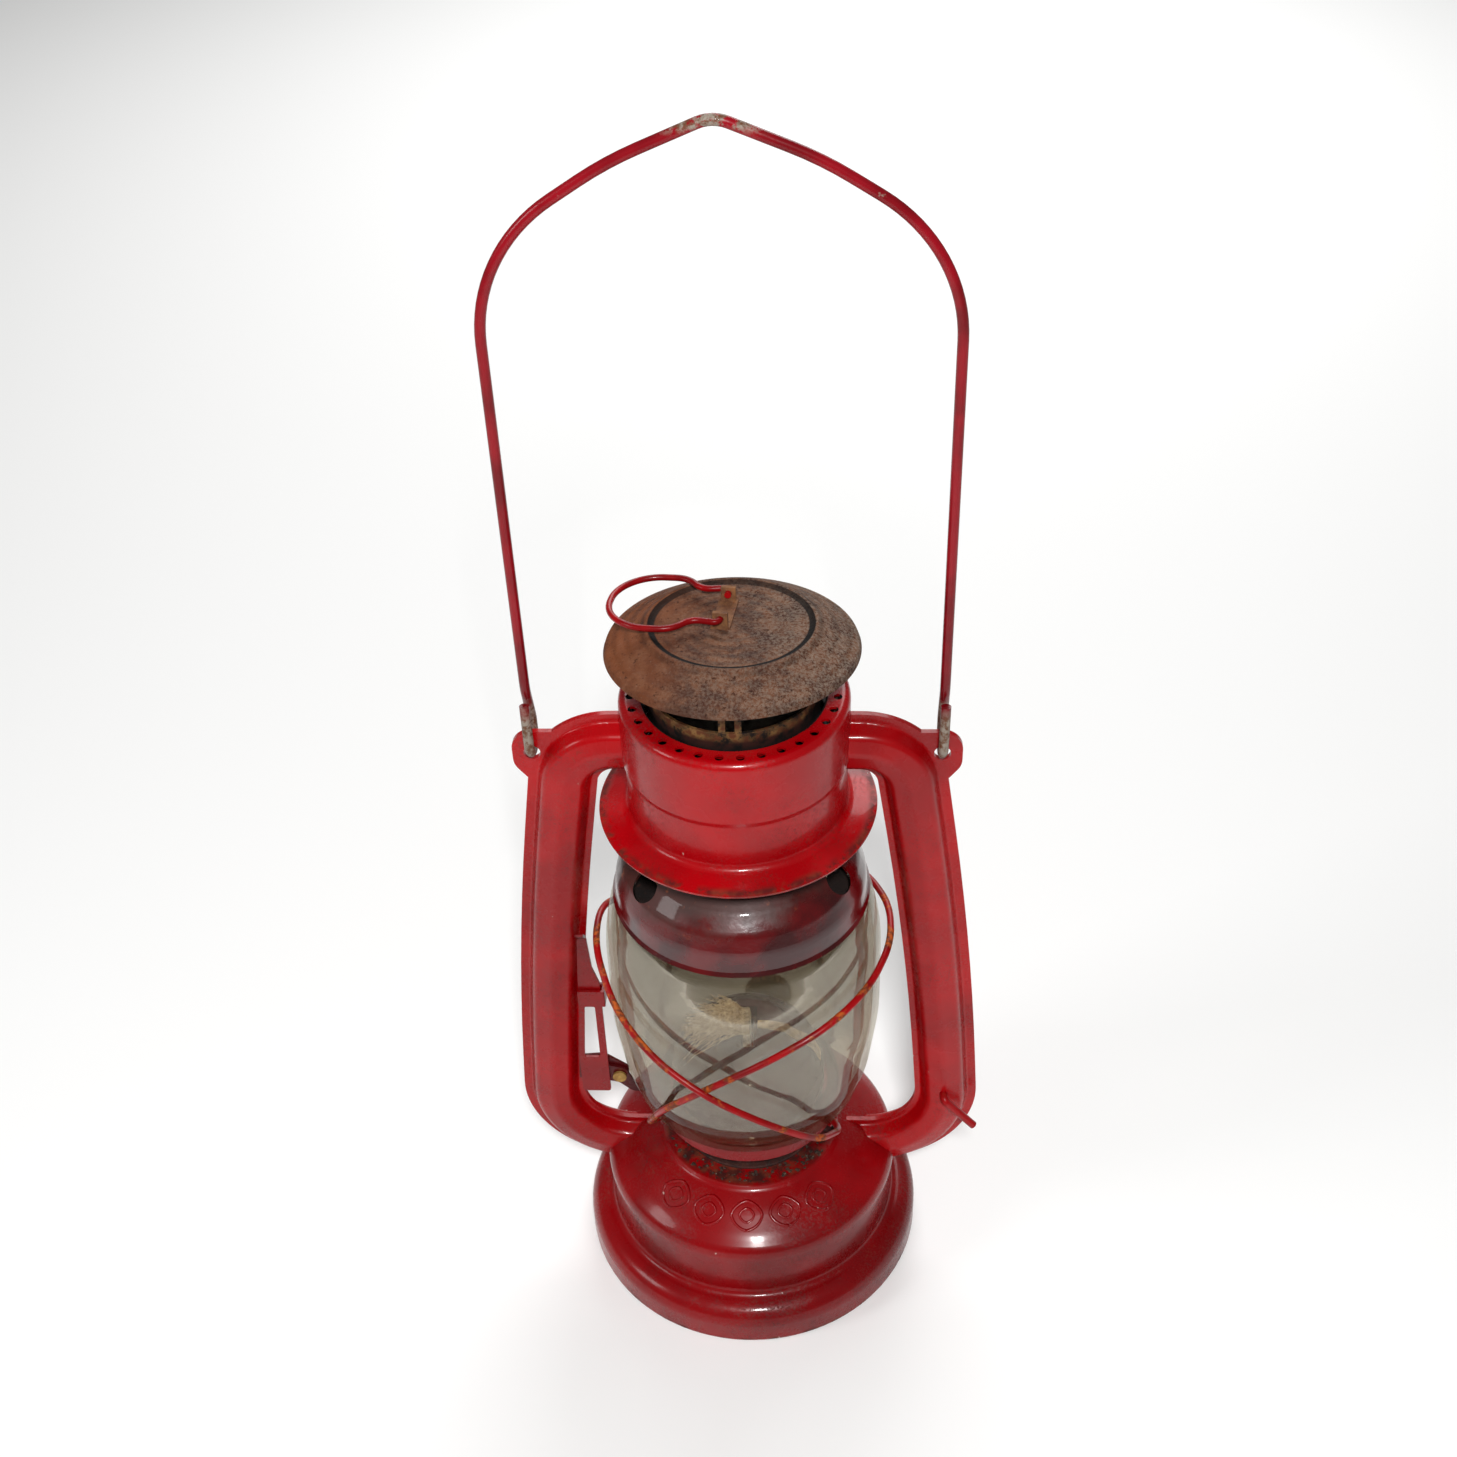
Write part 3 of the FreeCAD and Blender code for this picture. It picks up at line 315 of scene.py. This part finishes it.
def smoked_glass():
    """Thin clear glass with a film of dust, and smoke that has settled thickly on its back half."""
    g = Graph("smoked_glass")
    clear = g.node("ShaderNodeBsdfTransparent")
    clear.inputs["Color"].default_value = (0.90, 0.87, 0.80, 1.0)
    mirror = g.node("ShaderNodeBsdfGlossy")
    mirror.inputs["Color"].default_value = (1.0, 1.0, 1.0, 1.0)
    mirror.inputs["Roughness"].default_value = 0.06
    fresnel = g.node("ShaderNodeFresnel")
    fresnel.inputs["IOR"].default_value = GLASS_INDEX
    pane = g.node("ShaderNodeMixShader")
    g.plug(pane.inputs[0], g.math("MULTIPLY", fresnel.outputs[0], 0.42))
    g.tree.links.new(clear.outputs[0], pane.inputs[1])
    g.tree.links.new(mirror.outputs[0], pane.inputs[2])
    film = g.node("ShaderNodeBsdfPrincipled")
    g.plug(film.inputs["Base Color"], g.mix(g.noise(3, 4), colour(92, 80, 60), colour(132, 118, 92)))
    film.inputs["Roughness"].default_value = 0.6
    split = g.node("ShaderNodeSeparateXYZ")
    g.plug(split.inputs[0], g.coordinates)
    backward = g.math("MULTIPLY", g.ramp(split.outputs[1], 0.000, 0.022), 0.46)
    clouds = g.math("MULTIPLY", g.ramp(g.noise(20, 5, 0.6), 0.35, 0.75), 0.06)
    specks = g.math("MULTIPLY", g.ramp(g.noise(0.7, 3, 0.7), 0.62, 0.72), 0.16)
    streaks = g.math("ADD", clouds, g.math("ADD", specks, 0.035))
    cover = g.node("ShaderNodeMixShader")
    g.plug(cover.inputs[0], g.math("ADD", streaks, backward))
    g.tree.links.new(pane.outputs[0], cover.inputs[1])
    g.tree.links.new(film.outputs[0], cover.inputs[2])
    output = g.node("ShaderNodeOutputMaterial")
    g.tree.links.new(cover.outputs[0], output.inputs["Surface"])
    return g.material


def cotton(name, pale, char, char_above=None):
    """Woven cotton, browned in places, and burnt to char above a height if one is given."""
    g = Graph(name)
    tone = g.mix(g.ramp(g.noise(1.6, 4, 0.7), 0.35, 0.65), pale, colour(150, 122, 84))
    if char_above is not None:
        height, _ = g.place()
        edge = g.math("ADD", height, g.math("MULTIPLY", g.noise(2.5, 4), 4.0))
        tone = g.mix(g.ramp(edge, char_above, char_above + 3.0), tone, char)
    return g.surface(tone, 0.95, g.bump(g.noise(0.5, 3), 0.6, 0.2), Sheen_Weight=0.3)


RED = colour(174, 7, 19)
DEEP_RED = colour(146, 6, 16)
COLLAR_BAND = (17.0, 30.0)  # dirty ring on the tank round the collar, radii in millimetres
FLANGE_BAND = (36.0, 41.0)  # rusty rim of the hood's flange, radii in millimetres
FINISHES = {
    # The tank and skirt wear a darker copy of the red enamel of the tubes and hood: painted shade for the
    # light falling off towards the bottom.
    "tank": enamel("tank_enamel_shaded_copy", colour(138, 10, 17), colour(110, 9, 14), rust_band=COLLAR_BAND, wear=0.6),
    "skirt": enamel("skirt_enamel_shaded_copy", colour(136, 10, 17), colour(106, 9, 14), rust_below=3.0, wear=0.8),
    "tube": enamel("tube_enamel", colour(168, 7, 17), colour(134, 6, 14), wear=0.6),
    "hood": enamel("hood_enamel", RED, DEEP_RED, rust_band=FLANGE_BAND, wear=0.6, coat=0.25, sooty=True),
    "trim": enamel("trim_enamel", colour(134, 10, 16), colour(100, 9, 14), wear=0.8),
    "bell": bell_finish(),
    "seat": rusted("seat_soot", colour(42, 27, 23), colour(24, 17, 15), colour(64, 36, 26), dust=0.05),
    "chimney": chimney_finish(),
    "cap": cap_finish(),
    "clip": rusted("clip_rust", colour(140, 96, 60), colour(90, 54, 36), ORANGE_RUST, dust=0.1),
    "ring": wire_paint("ring_paint", 0.15),
    "guard": wire_paint("guard_paint", 0.75),
    "stub": wire_paint("stub_paint", 0.45),
    "bail": bail_paint(),
    "spring": tarnished("spring_steel", colour(110, 96, 84), colour(60, 40, 32), 0.6),
    "burner": tarnished("burner_metal", colour(150, 104, 60), colour(84, 50, 34), 0.8),
    "cone": enamel("cone_enamel", colour(78, 26, 34), colour(46, 18, 22), wear=0.6, coat=0.05),
    "collar": rusted("collar_rust", colour(74, 36, 28), colour(38, 22, 20), colour(96, 56, 38),
                     scale_mm=6.0, dust=0.15),
    "filler": tarnished("filler_metal", colour(150, 140, 128), colour(96, 72, 58), 0.35),
    "crank": enamel("crank_enamel", colour(86, 20, 22), colour(46, 16, 16), wear=0.9, coat=0.1),
    "rivet": tarnished("rivet_brass", colour(196, 160, 88), colour(140, 100, 56), 0.2),
    "glass": smoked_glass(),
    "wick": cotton("wick_cotton", colour(226, 208, 170), SOOT, char_above=91.5),
    "seal": Graph("seal_rubber").surface(colour(28, 27, 26), 0.8),
}
WORN_BY = {
    "tank": ["tank_dome"],
    "skirt": ["base_skirt", "tank_floor"],
    "tube": ["left_tube_front", "left_tube_back", "right_tube_front", "right_tube_back"],
    "hood": ["crown_hood"],
    "trim": ["globe_lever", "lever_keeper", "filler_neck", "globe_plate"],
    "bell": ["bell"],
    "seat": ["globe_seat"],
    "chimney": ["chimney"],
    "cap": ["cap"],
    "clip": ["ring_clip"],
    "ring": ["lift_ring"],
    "guard": ["guard_wire_left", "guard_wire_right"],
    "stub": ["hinge_wire"],
    "bail": ["bail"],
    "spring": ["lift_spring"],
    "burner": ["burner_base", "burner_deck", "air_diffuser", "wick_tube",
               "wick_shaft", "wick_sprockets", "wick_knob"],
    "cone": ["burner_cone"],
    "collar": ["burner_collar"],
    "filler": ["filler_cap"],
    "crank": ["lift_crank", "lever_bracket"],
    "rivet": ["crank_rivet"],
    "glass": ["globe"],
    "wick": ["wick"],
    "seal": ["filler_gasket"],
}
for finish, names in WORN_BY.items():
    for name in names:
        node = nodes[name]
        node.data.materials.clear()
        node.data.materials.append(FINISHES[finish])


# ---------------------------------------------------------------- added pieces


def mesh_piece(name, vertices, faces, material, body, smooth=True):
    """A piece of the look that moves with one body and takes its finish from one slot."""
    mesh = bpy.data.meshes.new(name)
    mesh.from_pydata([tuple(v) for v in vertices], [], faces)
    mesh.update()
    mesh.materials.append(material)
    mesh.polygons.foreach_set("use_smooth", [smooth] * len(mesh.polygons))
    piece = bpy.data.objects.new(name, mesh)
    bpy.context.scene.collection.objects.link(piece)
    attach(piece, body)
    return piece


def strand(points, radii, sides, vertices, faces):
    """Adds a closed round strand along points to a growing mesh."""
    first = len(vertices)
    for i, point in enumerate(points):
        ahead = points[min(i + 1, len(points) - 1)] - points[max(i - 1, 0)]
        across = ahead.cross(Vector((0.31, 0.17, 0.93))).normalized()
        up = ahead.cross(across).normalized()
        for k in range(sides):
            angle = 2 * math.pi * k / sides
            vertices.append(point + (across * math.cos(angle) + up * math.sin(angle)) * radii[i])
    for i in range(len(points) - 1):
        for k in range(sides):
            a = first + i * sides + k
            b = first + i * sides + (k + 1) % sides
            faces.append((a, b, b + sides, a + sides))
    faces.append(tuple(first + k for k in reversed(range(sides))))
    last = first + (len(points) - 1) * sides
    faces.append(tuple(last + k for k in range(sides)))


def polar(radius, degrees, level):
    """A point in millimetres at an angle from the front (-Y) towards +X."""
    angle = math.radians(degrees)
    return Vector((radius * math.sin(angle), -radius * math.cos(angle), level))


WICK_SINK = 2.0  # how far the wick can be turned down from rest, in millimetres
CONE_RIM = 24.0  # radius at the foot of the burner cone, in millimetres
FIBRES = 420
FIBRE_STEPS = 6
CONE_PROFILE = ([0, 12, 21, 24.4], [90.0, 89.6, 83.0, 75.0])  # radii and heights, in millimetres


def cone_level(radius):
    """Height of the burner cone's outer face at a radius, in millimetres."""
    return float(np.interp(radius, *CONE_PROFILE))


def frayed_wick():
    """The burnt end of the wick, teased out into a tuft that leans over the cone towards -X.

    It lies clear of the cone by more than the wick can sink.
    """
    picker = random.Random(11)
    vertices, faces = [], []
    for _ in range(FIBRES):
        reach = picker.uniform(4.0, 21.0)
        side = picker.gauss(0.0, 4.2)
        start = Vector((picker.uniform(-1.0, 0.8), picker.uniform(-5.6, 5.6), 89.8))
        end = Vector((-reach, side, 0))
        end.z = cone_level(min(CONE_RIM, end.length)) + WICK_SINK + picker.uniform(1.0, 4.5)
        points = []
        for step in range(FIBRE_STEPS + 1):
            share = step / FIBRE_STEPS
            point = start.lerp(end, share)
            point.z = max(point.z + 2.6 * math.sin(math.pi * share), 0)
            point += Vector([picker.gauss(0, 0.55) * share for _ in range(3)])
            resting_level = cone_level(min(CONE_RIM, math.hypot(point.x, point.y))) + WICK_SINK + 0.7
            point.z = max(point.z, resting_level)
            points.append(point * MM)
        radii = [0.34 * MM * (1.0 - 0.75 * step / FIBRE_STEPS) for step in range(FIBRE_STEPS + 1)]
        strand(points, radii, 5, vertices, faces)
    finish = cotton("fluff_cotton", colour(222, 200, 162), SOOT)
    return mesh_piece("wick_fray", vertices, faces, finish, "wick")


def wick_strip():
    """A loose pale strip of old wick lying down the +X side of the cone."""
    vertices, faces = [], []
    steps = 14
    for i in range(steps + 1):
        share = i / steps
        x = 3.4 + 20.0 * share
        half = 1.25 + 0.9 * share
        level = cone_level(x) + 0.7 + 0.25 * math.sin(9 * share)
        for y, lift in ((-half, 0.0), (half, 0.15), (half, 0.95), (-half, 0.8)):
            vertices.append(Vector((x, y - 2.0 * share, level + lift)) * MM)
    for i in range(steps):
        for k in range(4):
            a = 4 * i + k
            b = 4 * i + (k + 1) % 4
            faces.append((a, b, b + 4, a + 4))
    faces.append((3, 2, 1, 0))
    faces.append(tuple(4 * steps + k for k in range(4)))
    finish = cotton("strip_cotton", colour(220, 194, 148), SOOT)
    return mesh_piece("wick_strip", vertices, faces, finish, "lantern", smooth=False)


DOME_PROFILE = ([29.2, 30.4, 36.0, 43.0, 47.5], [47.2, 46.0, 43.35, 39.1, 36.0])  # as CONE_PROFILE
LOZENGE_ROW = 37.2  # radius of the row of lozenges, in millimetres
LOZENGE_STEPS = 32


def dome_level(radius):
    """Height of the tank dome's outer face at a radius, in millimetres."""
    return float(np.interp(radius, *DOME_PROFILE))


def dome_ornaments():
    """A row of plain raised lozenges round the front of the tank's shoulder."""
    vertices, faces = [], []
    for degrees in (-38, -19, 0, 19, 38):
        for size_mm, wire in ((4.9, 0.6), (2.3, 0.5)):
            loop = []
            for k in range(LOZENGE_STEPS + 1):
                turn = 2 * math.pi * k / LOZENGE_STEPS
                out = size_mm * math.copysign(abs(math.cos(turn)) ** 1.25, math.cos(turn))
                along = size_mm * math.copysign(abs(math.sin(turn)) ** 1.25, math.sin(turn))
                radius = LOZENGE_ROW + out * 0.82
                around = degrees + math.degrees(along / LOZENGE_ROW)
                loop.append(polar(radius, around, dome_level(radius) + 0.02) * MM)
            strand(loop, [wire * MM] * len(loop), 6, vertices, faces)
    return mesh_piece("dome_ornament", vertices, faces, FINISHES["tank"], "lantern")


FLAKE_CORNERS = [(1, 0, 0), (-1, 0, 0), (0, 1, 0), (0, -1, 0), (0, 0, 0.7), (0, 0, -0.7)]
FLAKE_FACES = [(0, 2, 4), (2, 1, 4), (1, 3, 4), (3, 0, 4), (2, 0, 5), (1, 2, 5), (3, 1, 5), (0, 3, 5)]
FLAKES = 320


def crumbs():
    """Flakes of rust and grime lodged round the collar, between the tank and the globe plate."""
    picker = random.Random(5)
    vertices, faces = [], []
    for _ in range(FLAKES):
        centre = polar(picker.uniform(23.0, 28.6), picker.uniform(0, 360), 0)
        centre.z = 47.2 + picker.uniform(0.0, 0.35)
        size_mm = picker.uniform(0.25, 0.95)
        first = len(vertices)
        spin = Matrix.Rotation(picker.uniform(0, 6.28), 3, "Z")
        turn = spin @ Matrix.Rotation(picker.uniform(-0.6, 0.6), 3, "X")
        for corner in FLAKE_CORNERS:
            stretch = size_mm * picker.uniform(0.6, 1.2)
            vertices.append((centre + turn @ Vector(corner) * stretch) * MM)
        for a, b, c in FLAKE_FACES:
            faces.append((first + a, first + b, first + c))
    finish = rusted("crumb_rust", colour(78, 52, 38), colour(38, 27, 23), colour(112, 90, 70), 4.0, dust=0.4)
    return mesh_piece("collar_crumbs", vertices, faces, finish, "lantern", smooth=False)


frayed_wick()
wick_strip()
dome_ornaments()
crumbs()


# ---------------------------------------------------------------- floor, light and camera


FLOOR_HALF = 3.0  # half the floor's side, in metres
CAMERA_PLACE = (0, -0.4043, 0.5447)  # metres, before the turn by the yaw
CAMERA_PITCH, CAMERA_ROLL, CAMERA_PAN = 0.6883, -0.0413, -0.0047  # radians
CAMERA_YAW = 3.6  # degrees round the lantern
LENS, SENSOR_WIDTH = 46.955662, 36.0  # millimetres


def floor():
    """A plain pale sheet under the lantern."""
    mesh = bpy.data.meshes.new("floor")
    far = FLOOR_HALF
    mesh.from_pydata([(-far, -far, 0), (far, -far, 0), (far, far, 0), (-far, far, 0)], [], [(0, 1, 2, 3)])
    g = Graph("floor_pale")
    mesh.materials.append(g.surface(colour(250, 250, 249), 0.9))
    plane = bpy.data.objects.new("floor", mesh)
    bpy.context.scene.collection.objects.link(plane)


def area_light(name, place, aim, side, watts):
    """A square soft light at place, turned towards aim, both in metres."""
    light = bpy.data.lights.new(name, "AREA")
    light.size = side
    light.energy = watts
    lamp = bpy.data.objects.new(name, light)
    lamp.location = place
    lamp.rotation_mode = "QUATERNION"
    lamp.rotation_quaternion = (Vector(aim) - Vector(place)).to_track_quat("-Z", "Y")
    bpy.context.scene.collection.objects.link(lamp)


def photo_camera():
    """The camera above the front of the lantern, tipped down, rolled a little, turned to the yaw."""
    pitch, roll, pan = CAMERA_PITCH, CAMERA_ROLL, CAMERA_PAN
    yaw = Matrix.Rotation(math.radians(CAMERA_YAW), 3, "Z")
    forward = Vector((math.sin(pan) * math.cos(pitch), math.cos(pan) * math.cos(pitch), -math.sin(pitch)))
    right = Vector((math.cos(pan), -math.sin(pan), 0))
    up = right.cross(forward)
    rolled_right = right * math.cos(roll) + up * math.sin(roll)
    rolled_up = up * math.cos(roll) - right * math.sin(roll)
    axes = [yaw @ axis for axis in (rolled_right, rolled_up, -forward)]
    place = yaw @ Vector(CAMERA_PLACE)
    data = bpy.data.cameras.new("camera")
    data.sensor_width = SENSOR_WIDTH
    data.lens = LENS
    data.clip_start = 0.01
    camera = bpy.data.objects.new("camera", data)
    turn = Matrix((axes[0], axes[1], axes[2])).transposed()
    camera.matrix_world = Matrix.Translation(place) @ turn.to_4x4()
    bpy.context.scene.collection.objects.link(camera)
    bpy.context.scene.camera = camera


def studio():
    """White surroundings, a small key light in front, and broader lights at -X and behind."""
    bpy.context.scene.view_settings.view_transform = "Standard"
    world = bpy.data.worlds.new("world")
    world.use_nodes = True
    back = world.node_tree.nodes["Background"]
    back.inputs["Color"].default_value = (1.0, 1.0, 1.0, 1.0)
    back.inputs["Strength"].default_value = 0.15
    bpy.context.scene.world = world
    area_light("key", (0.06, -0.62, 0.85), (0, 0, 0.15), 0.10, 7.6)
    area_light("left", (-0.9, -0.35, 0.7), (0, 0, 0.15), 0.3, 2.4)
    area_light("back", (0.1, 1.1, 0.9), (0, 0.5, 0.0), 0.9, 11.0)


floor()
studio()
photo_camera()
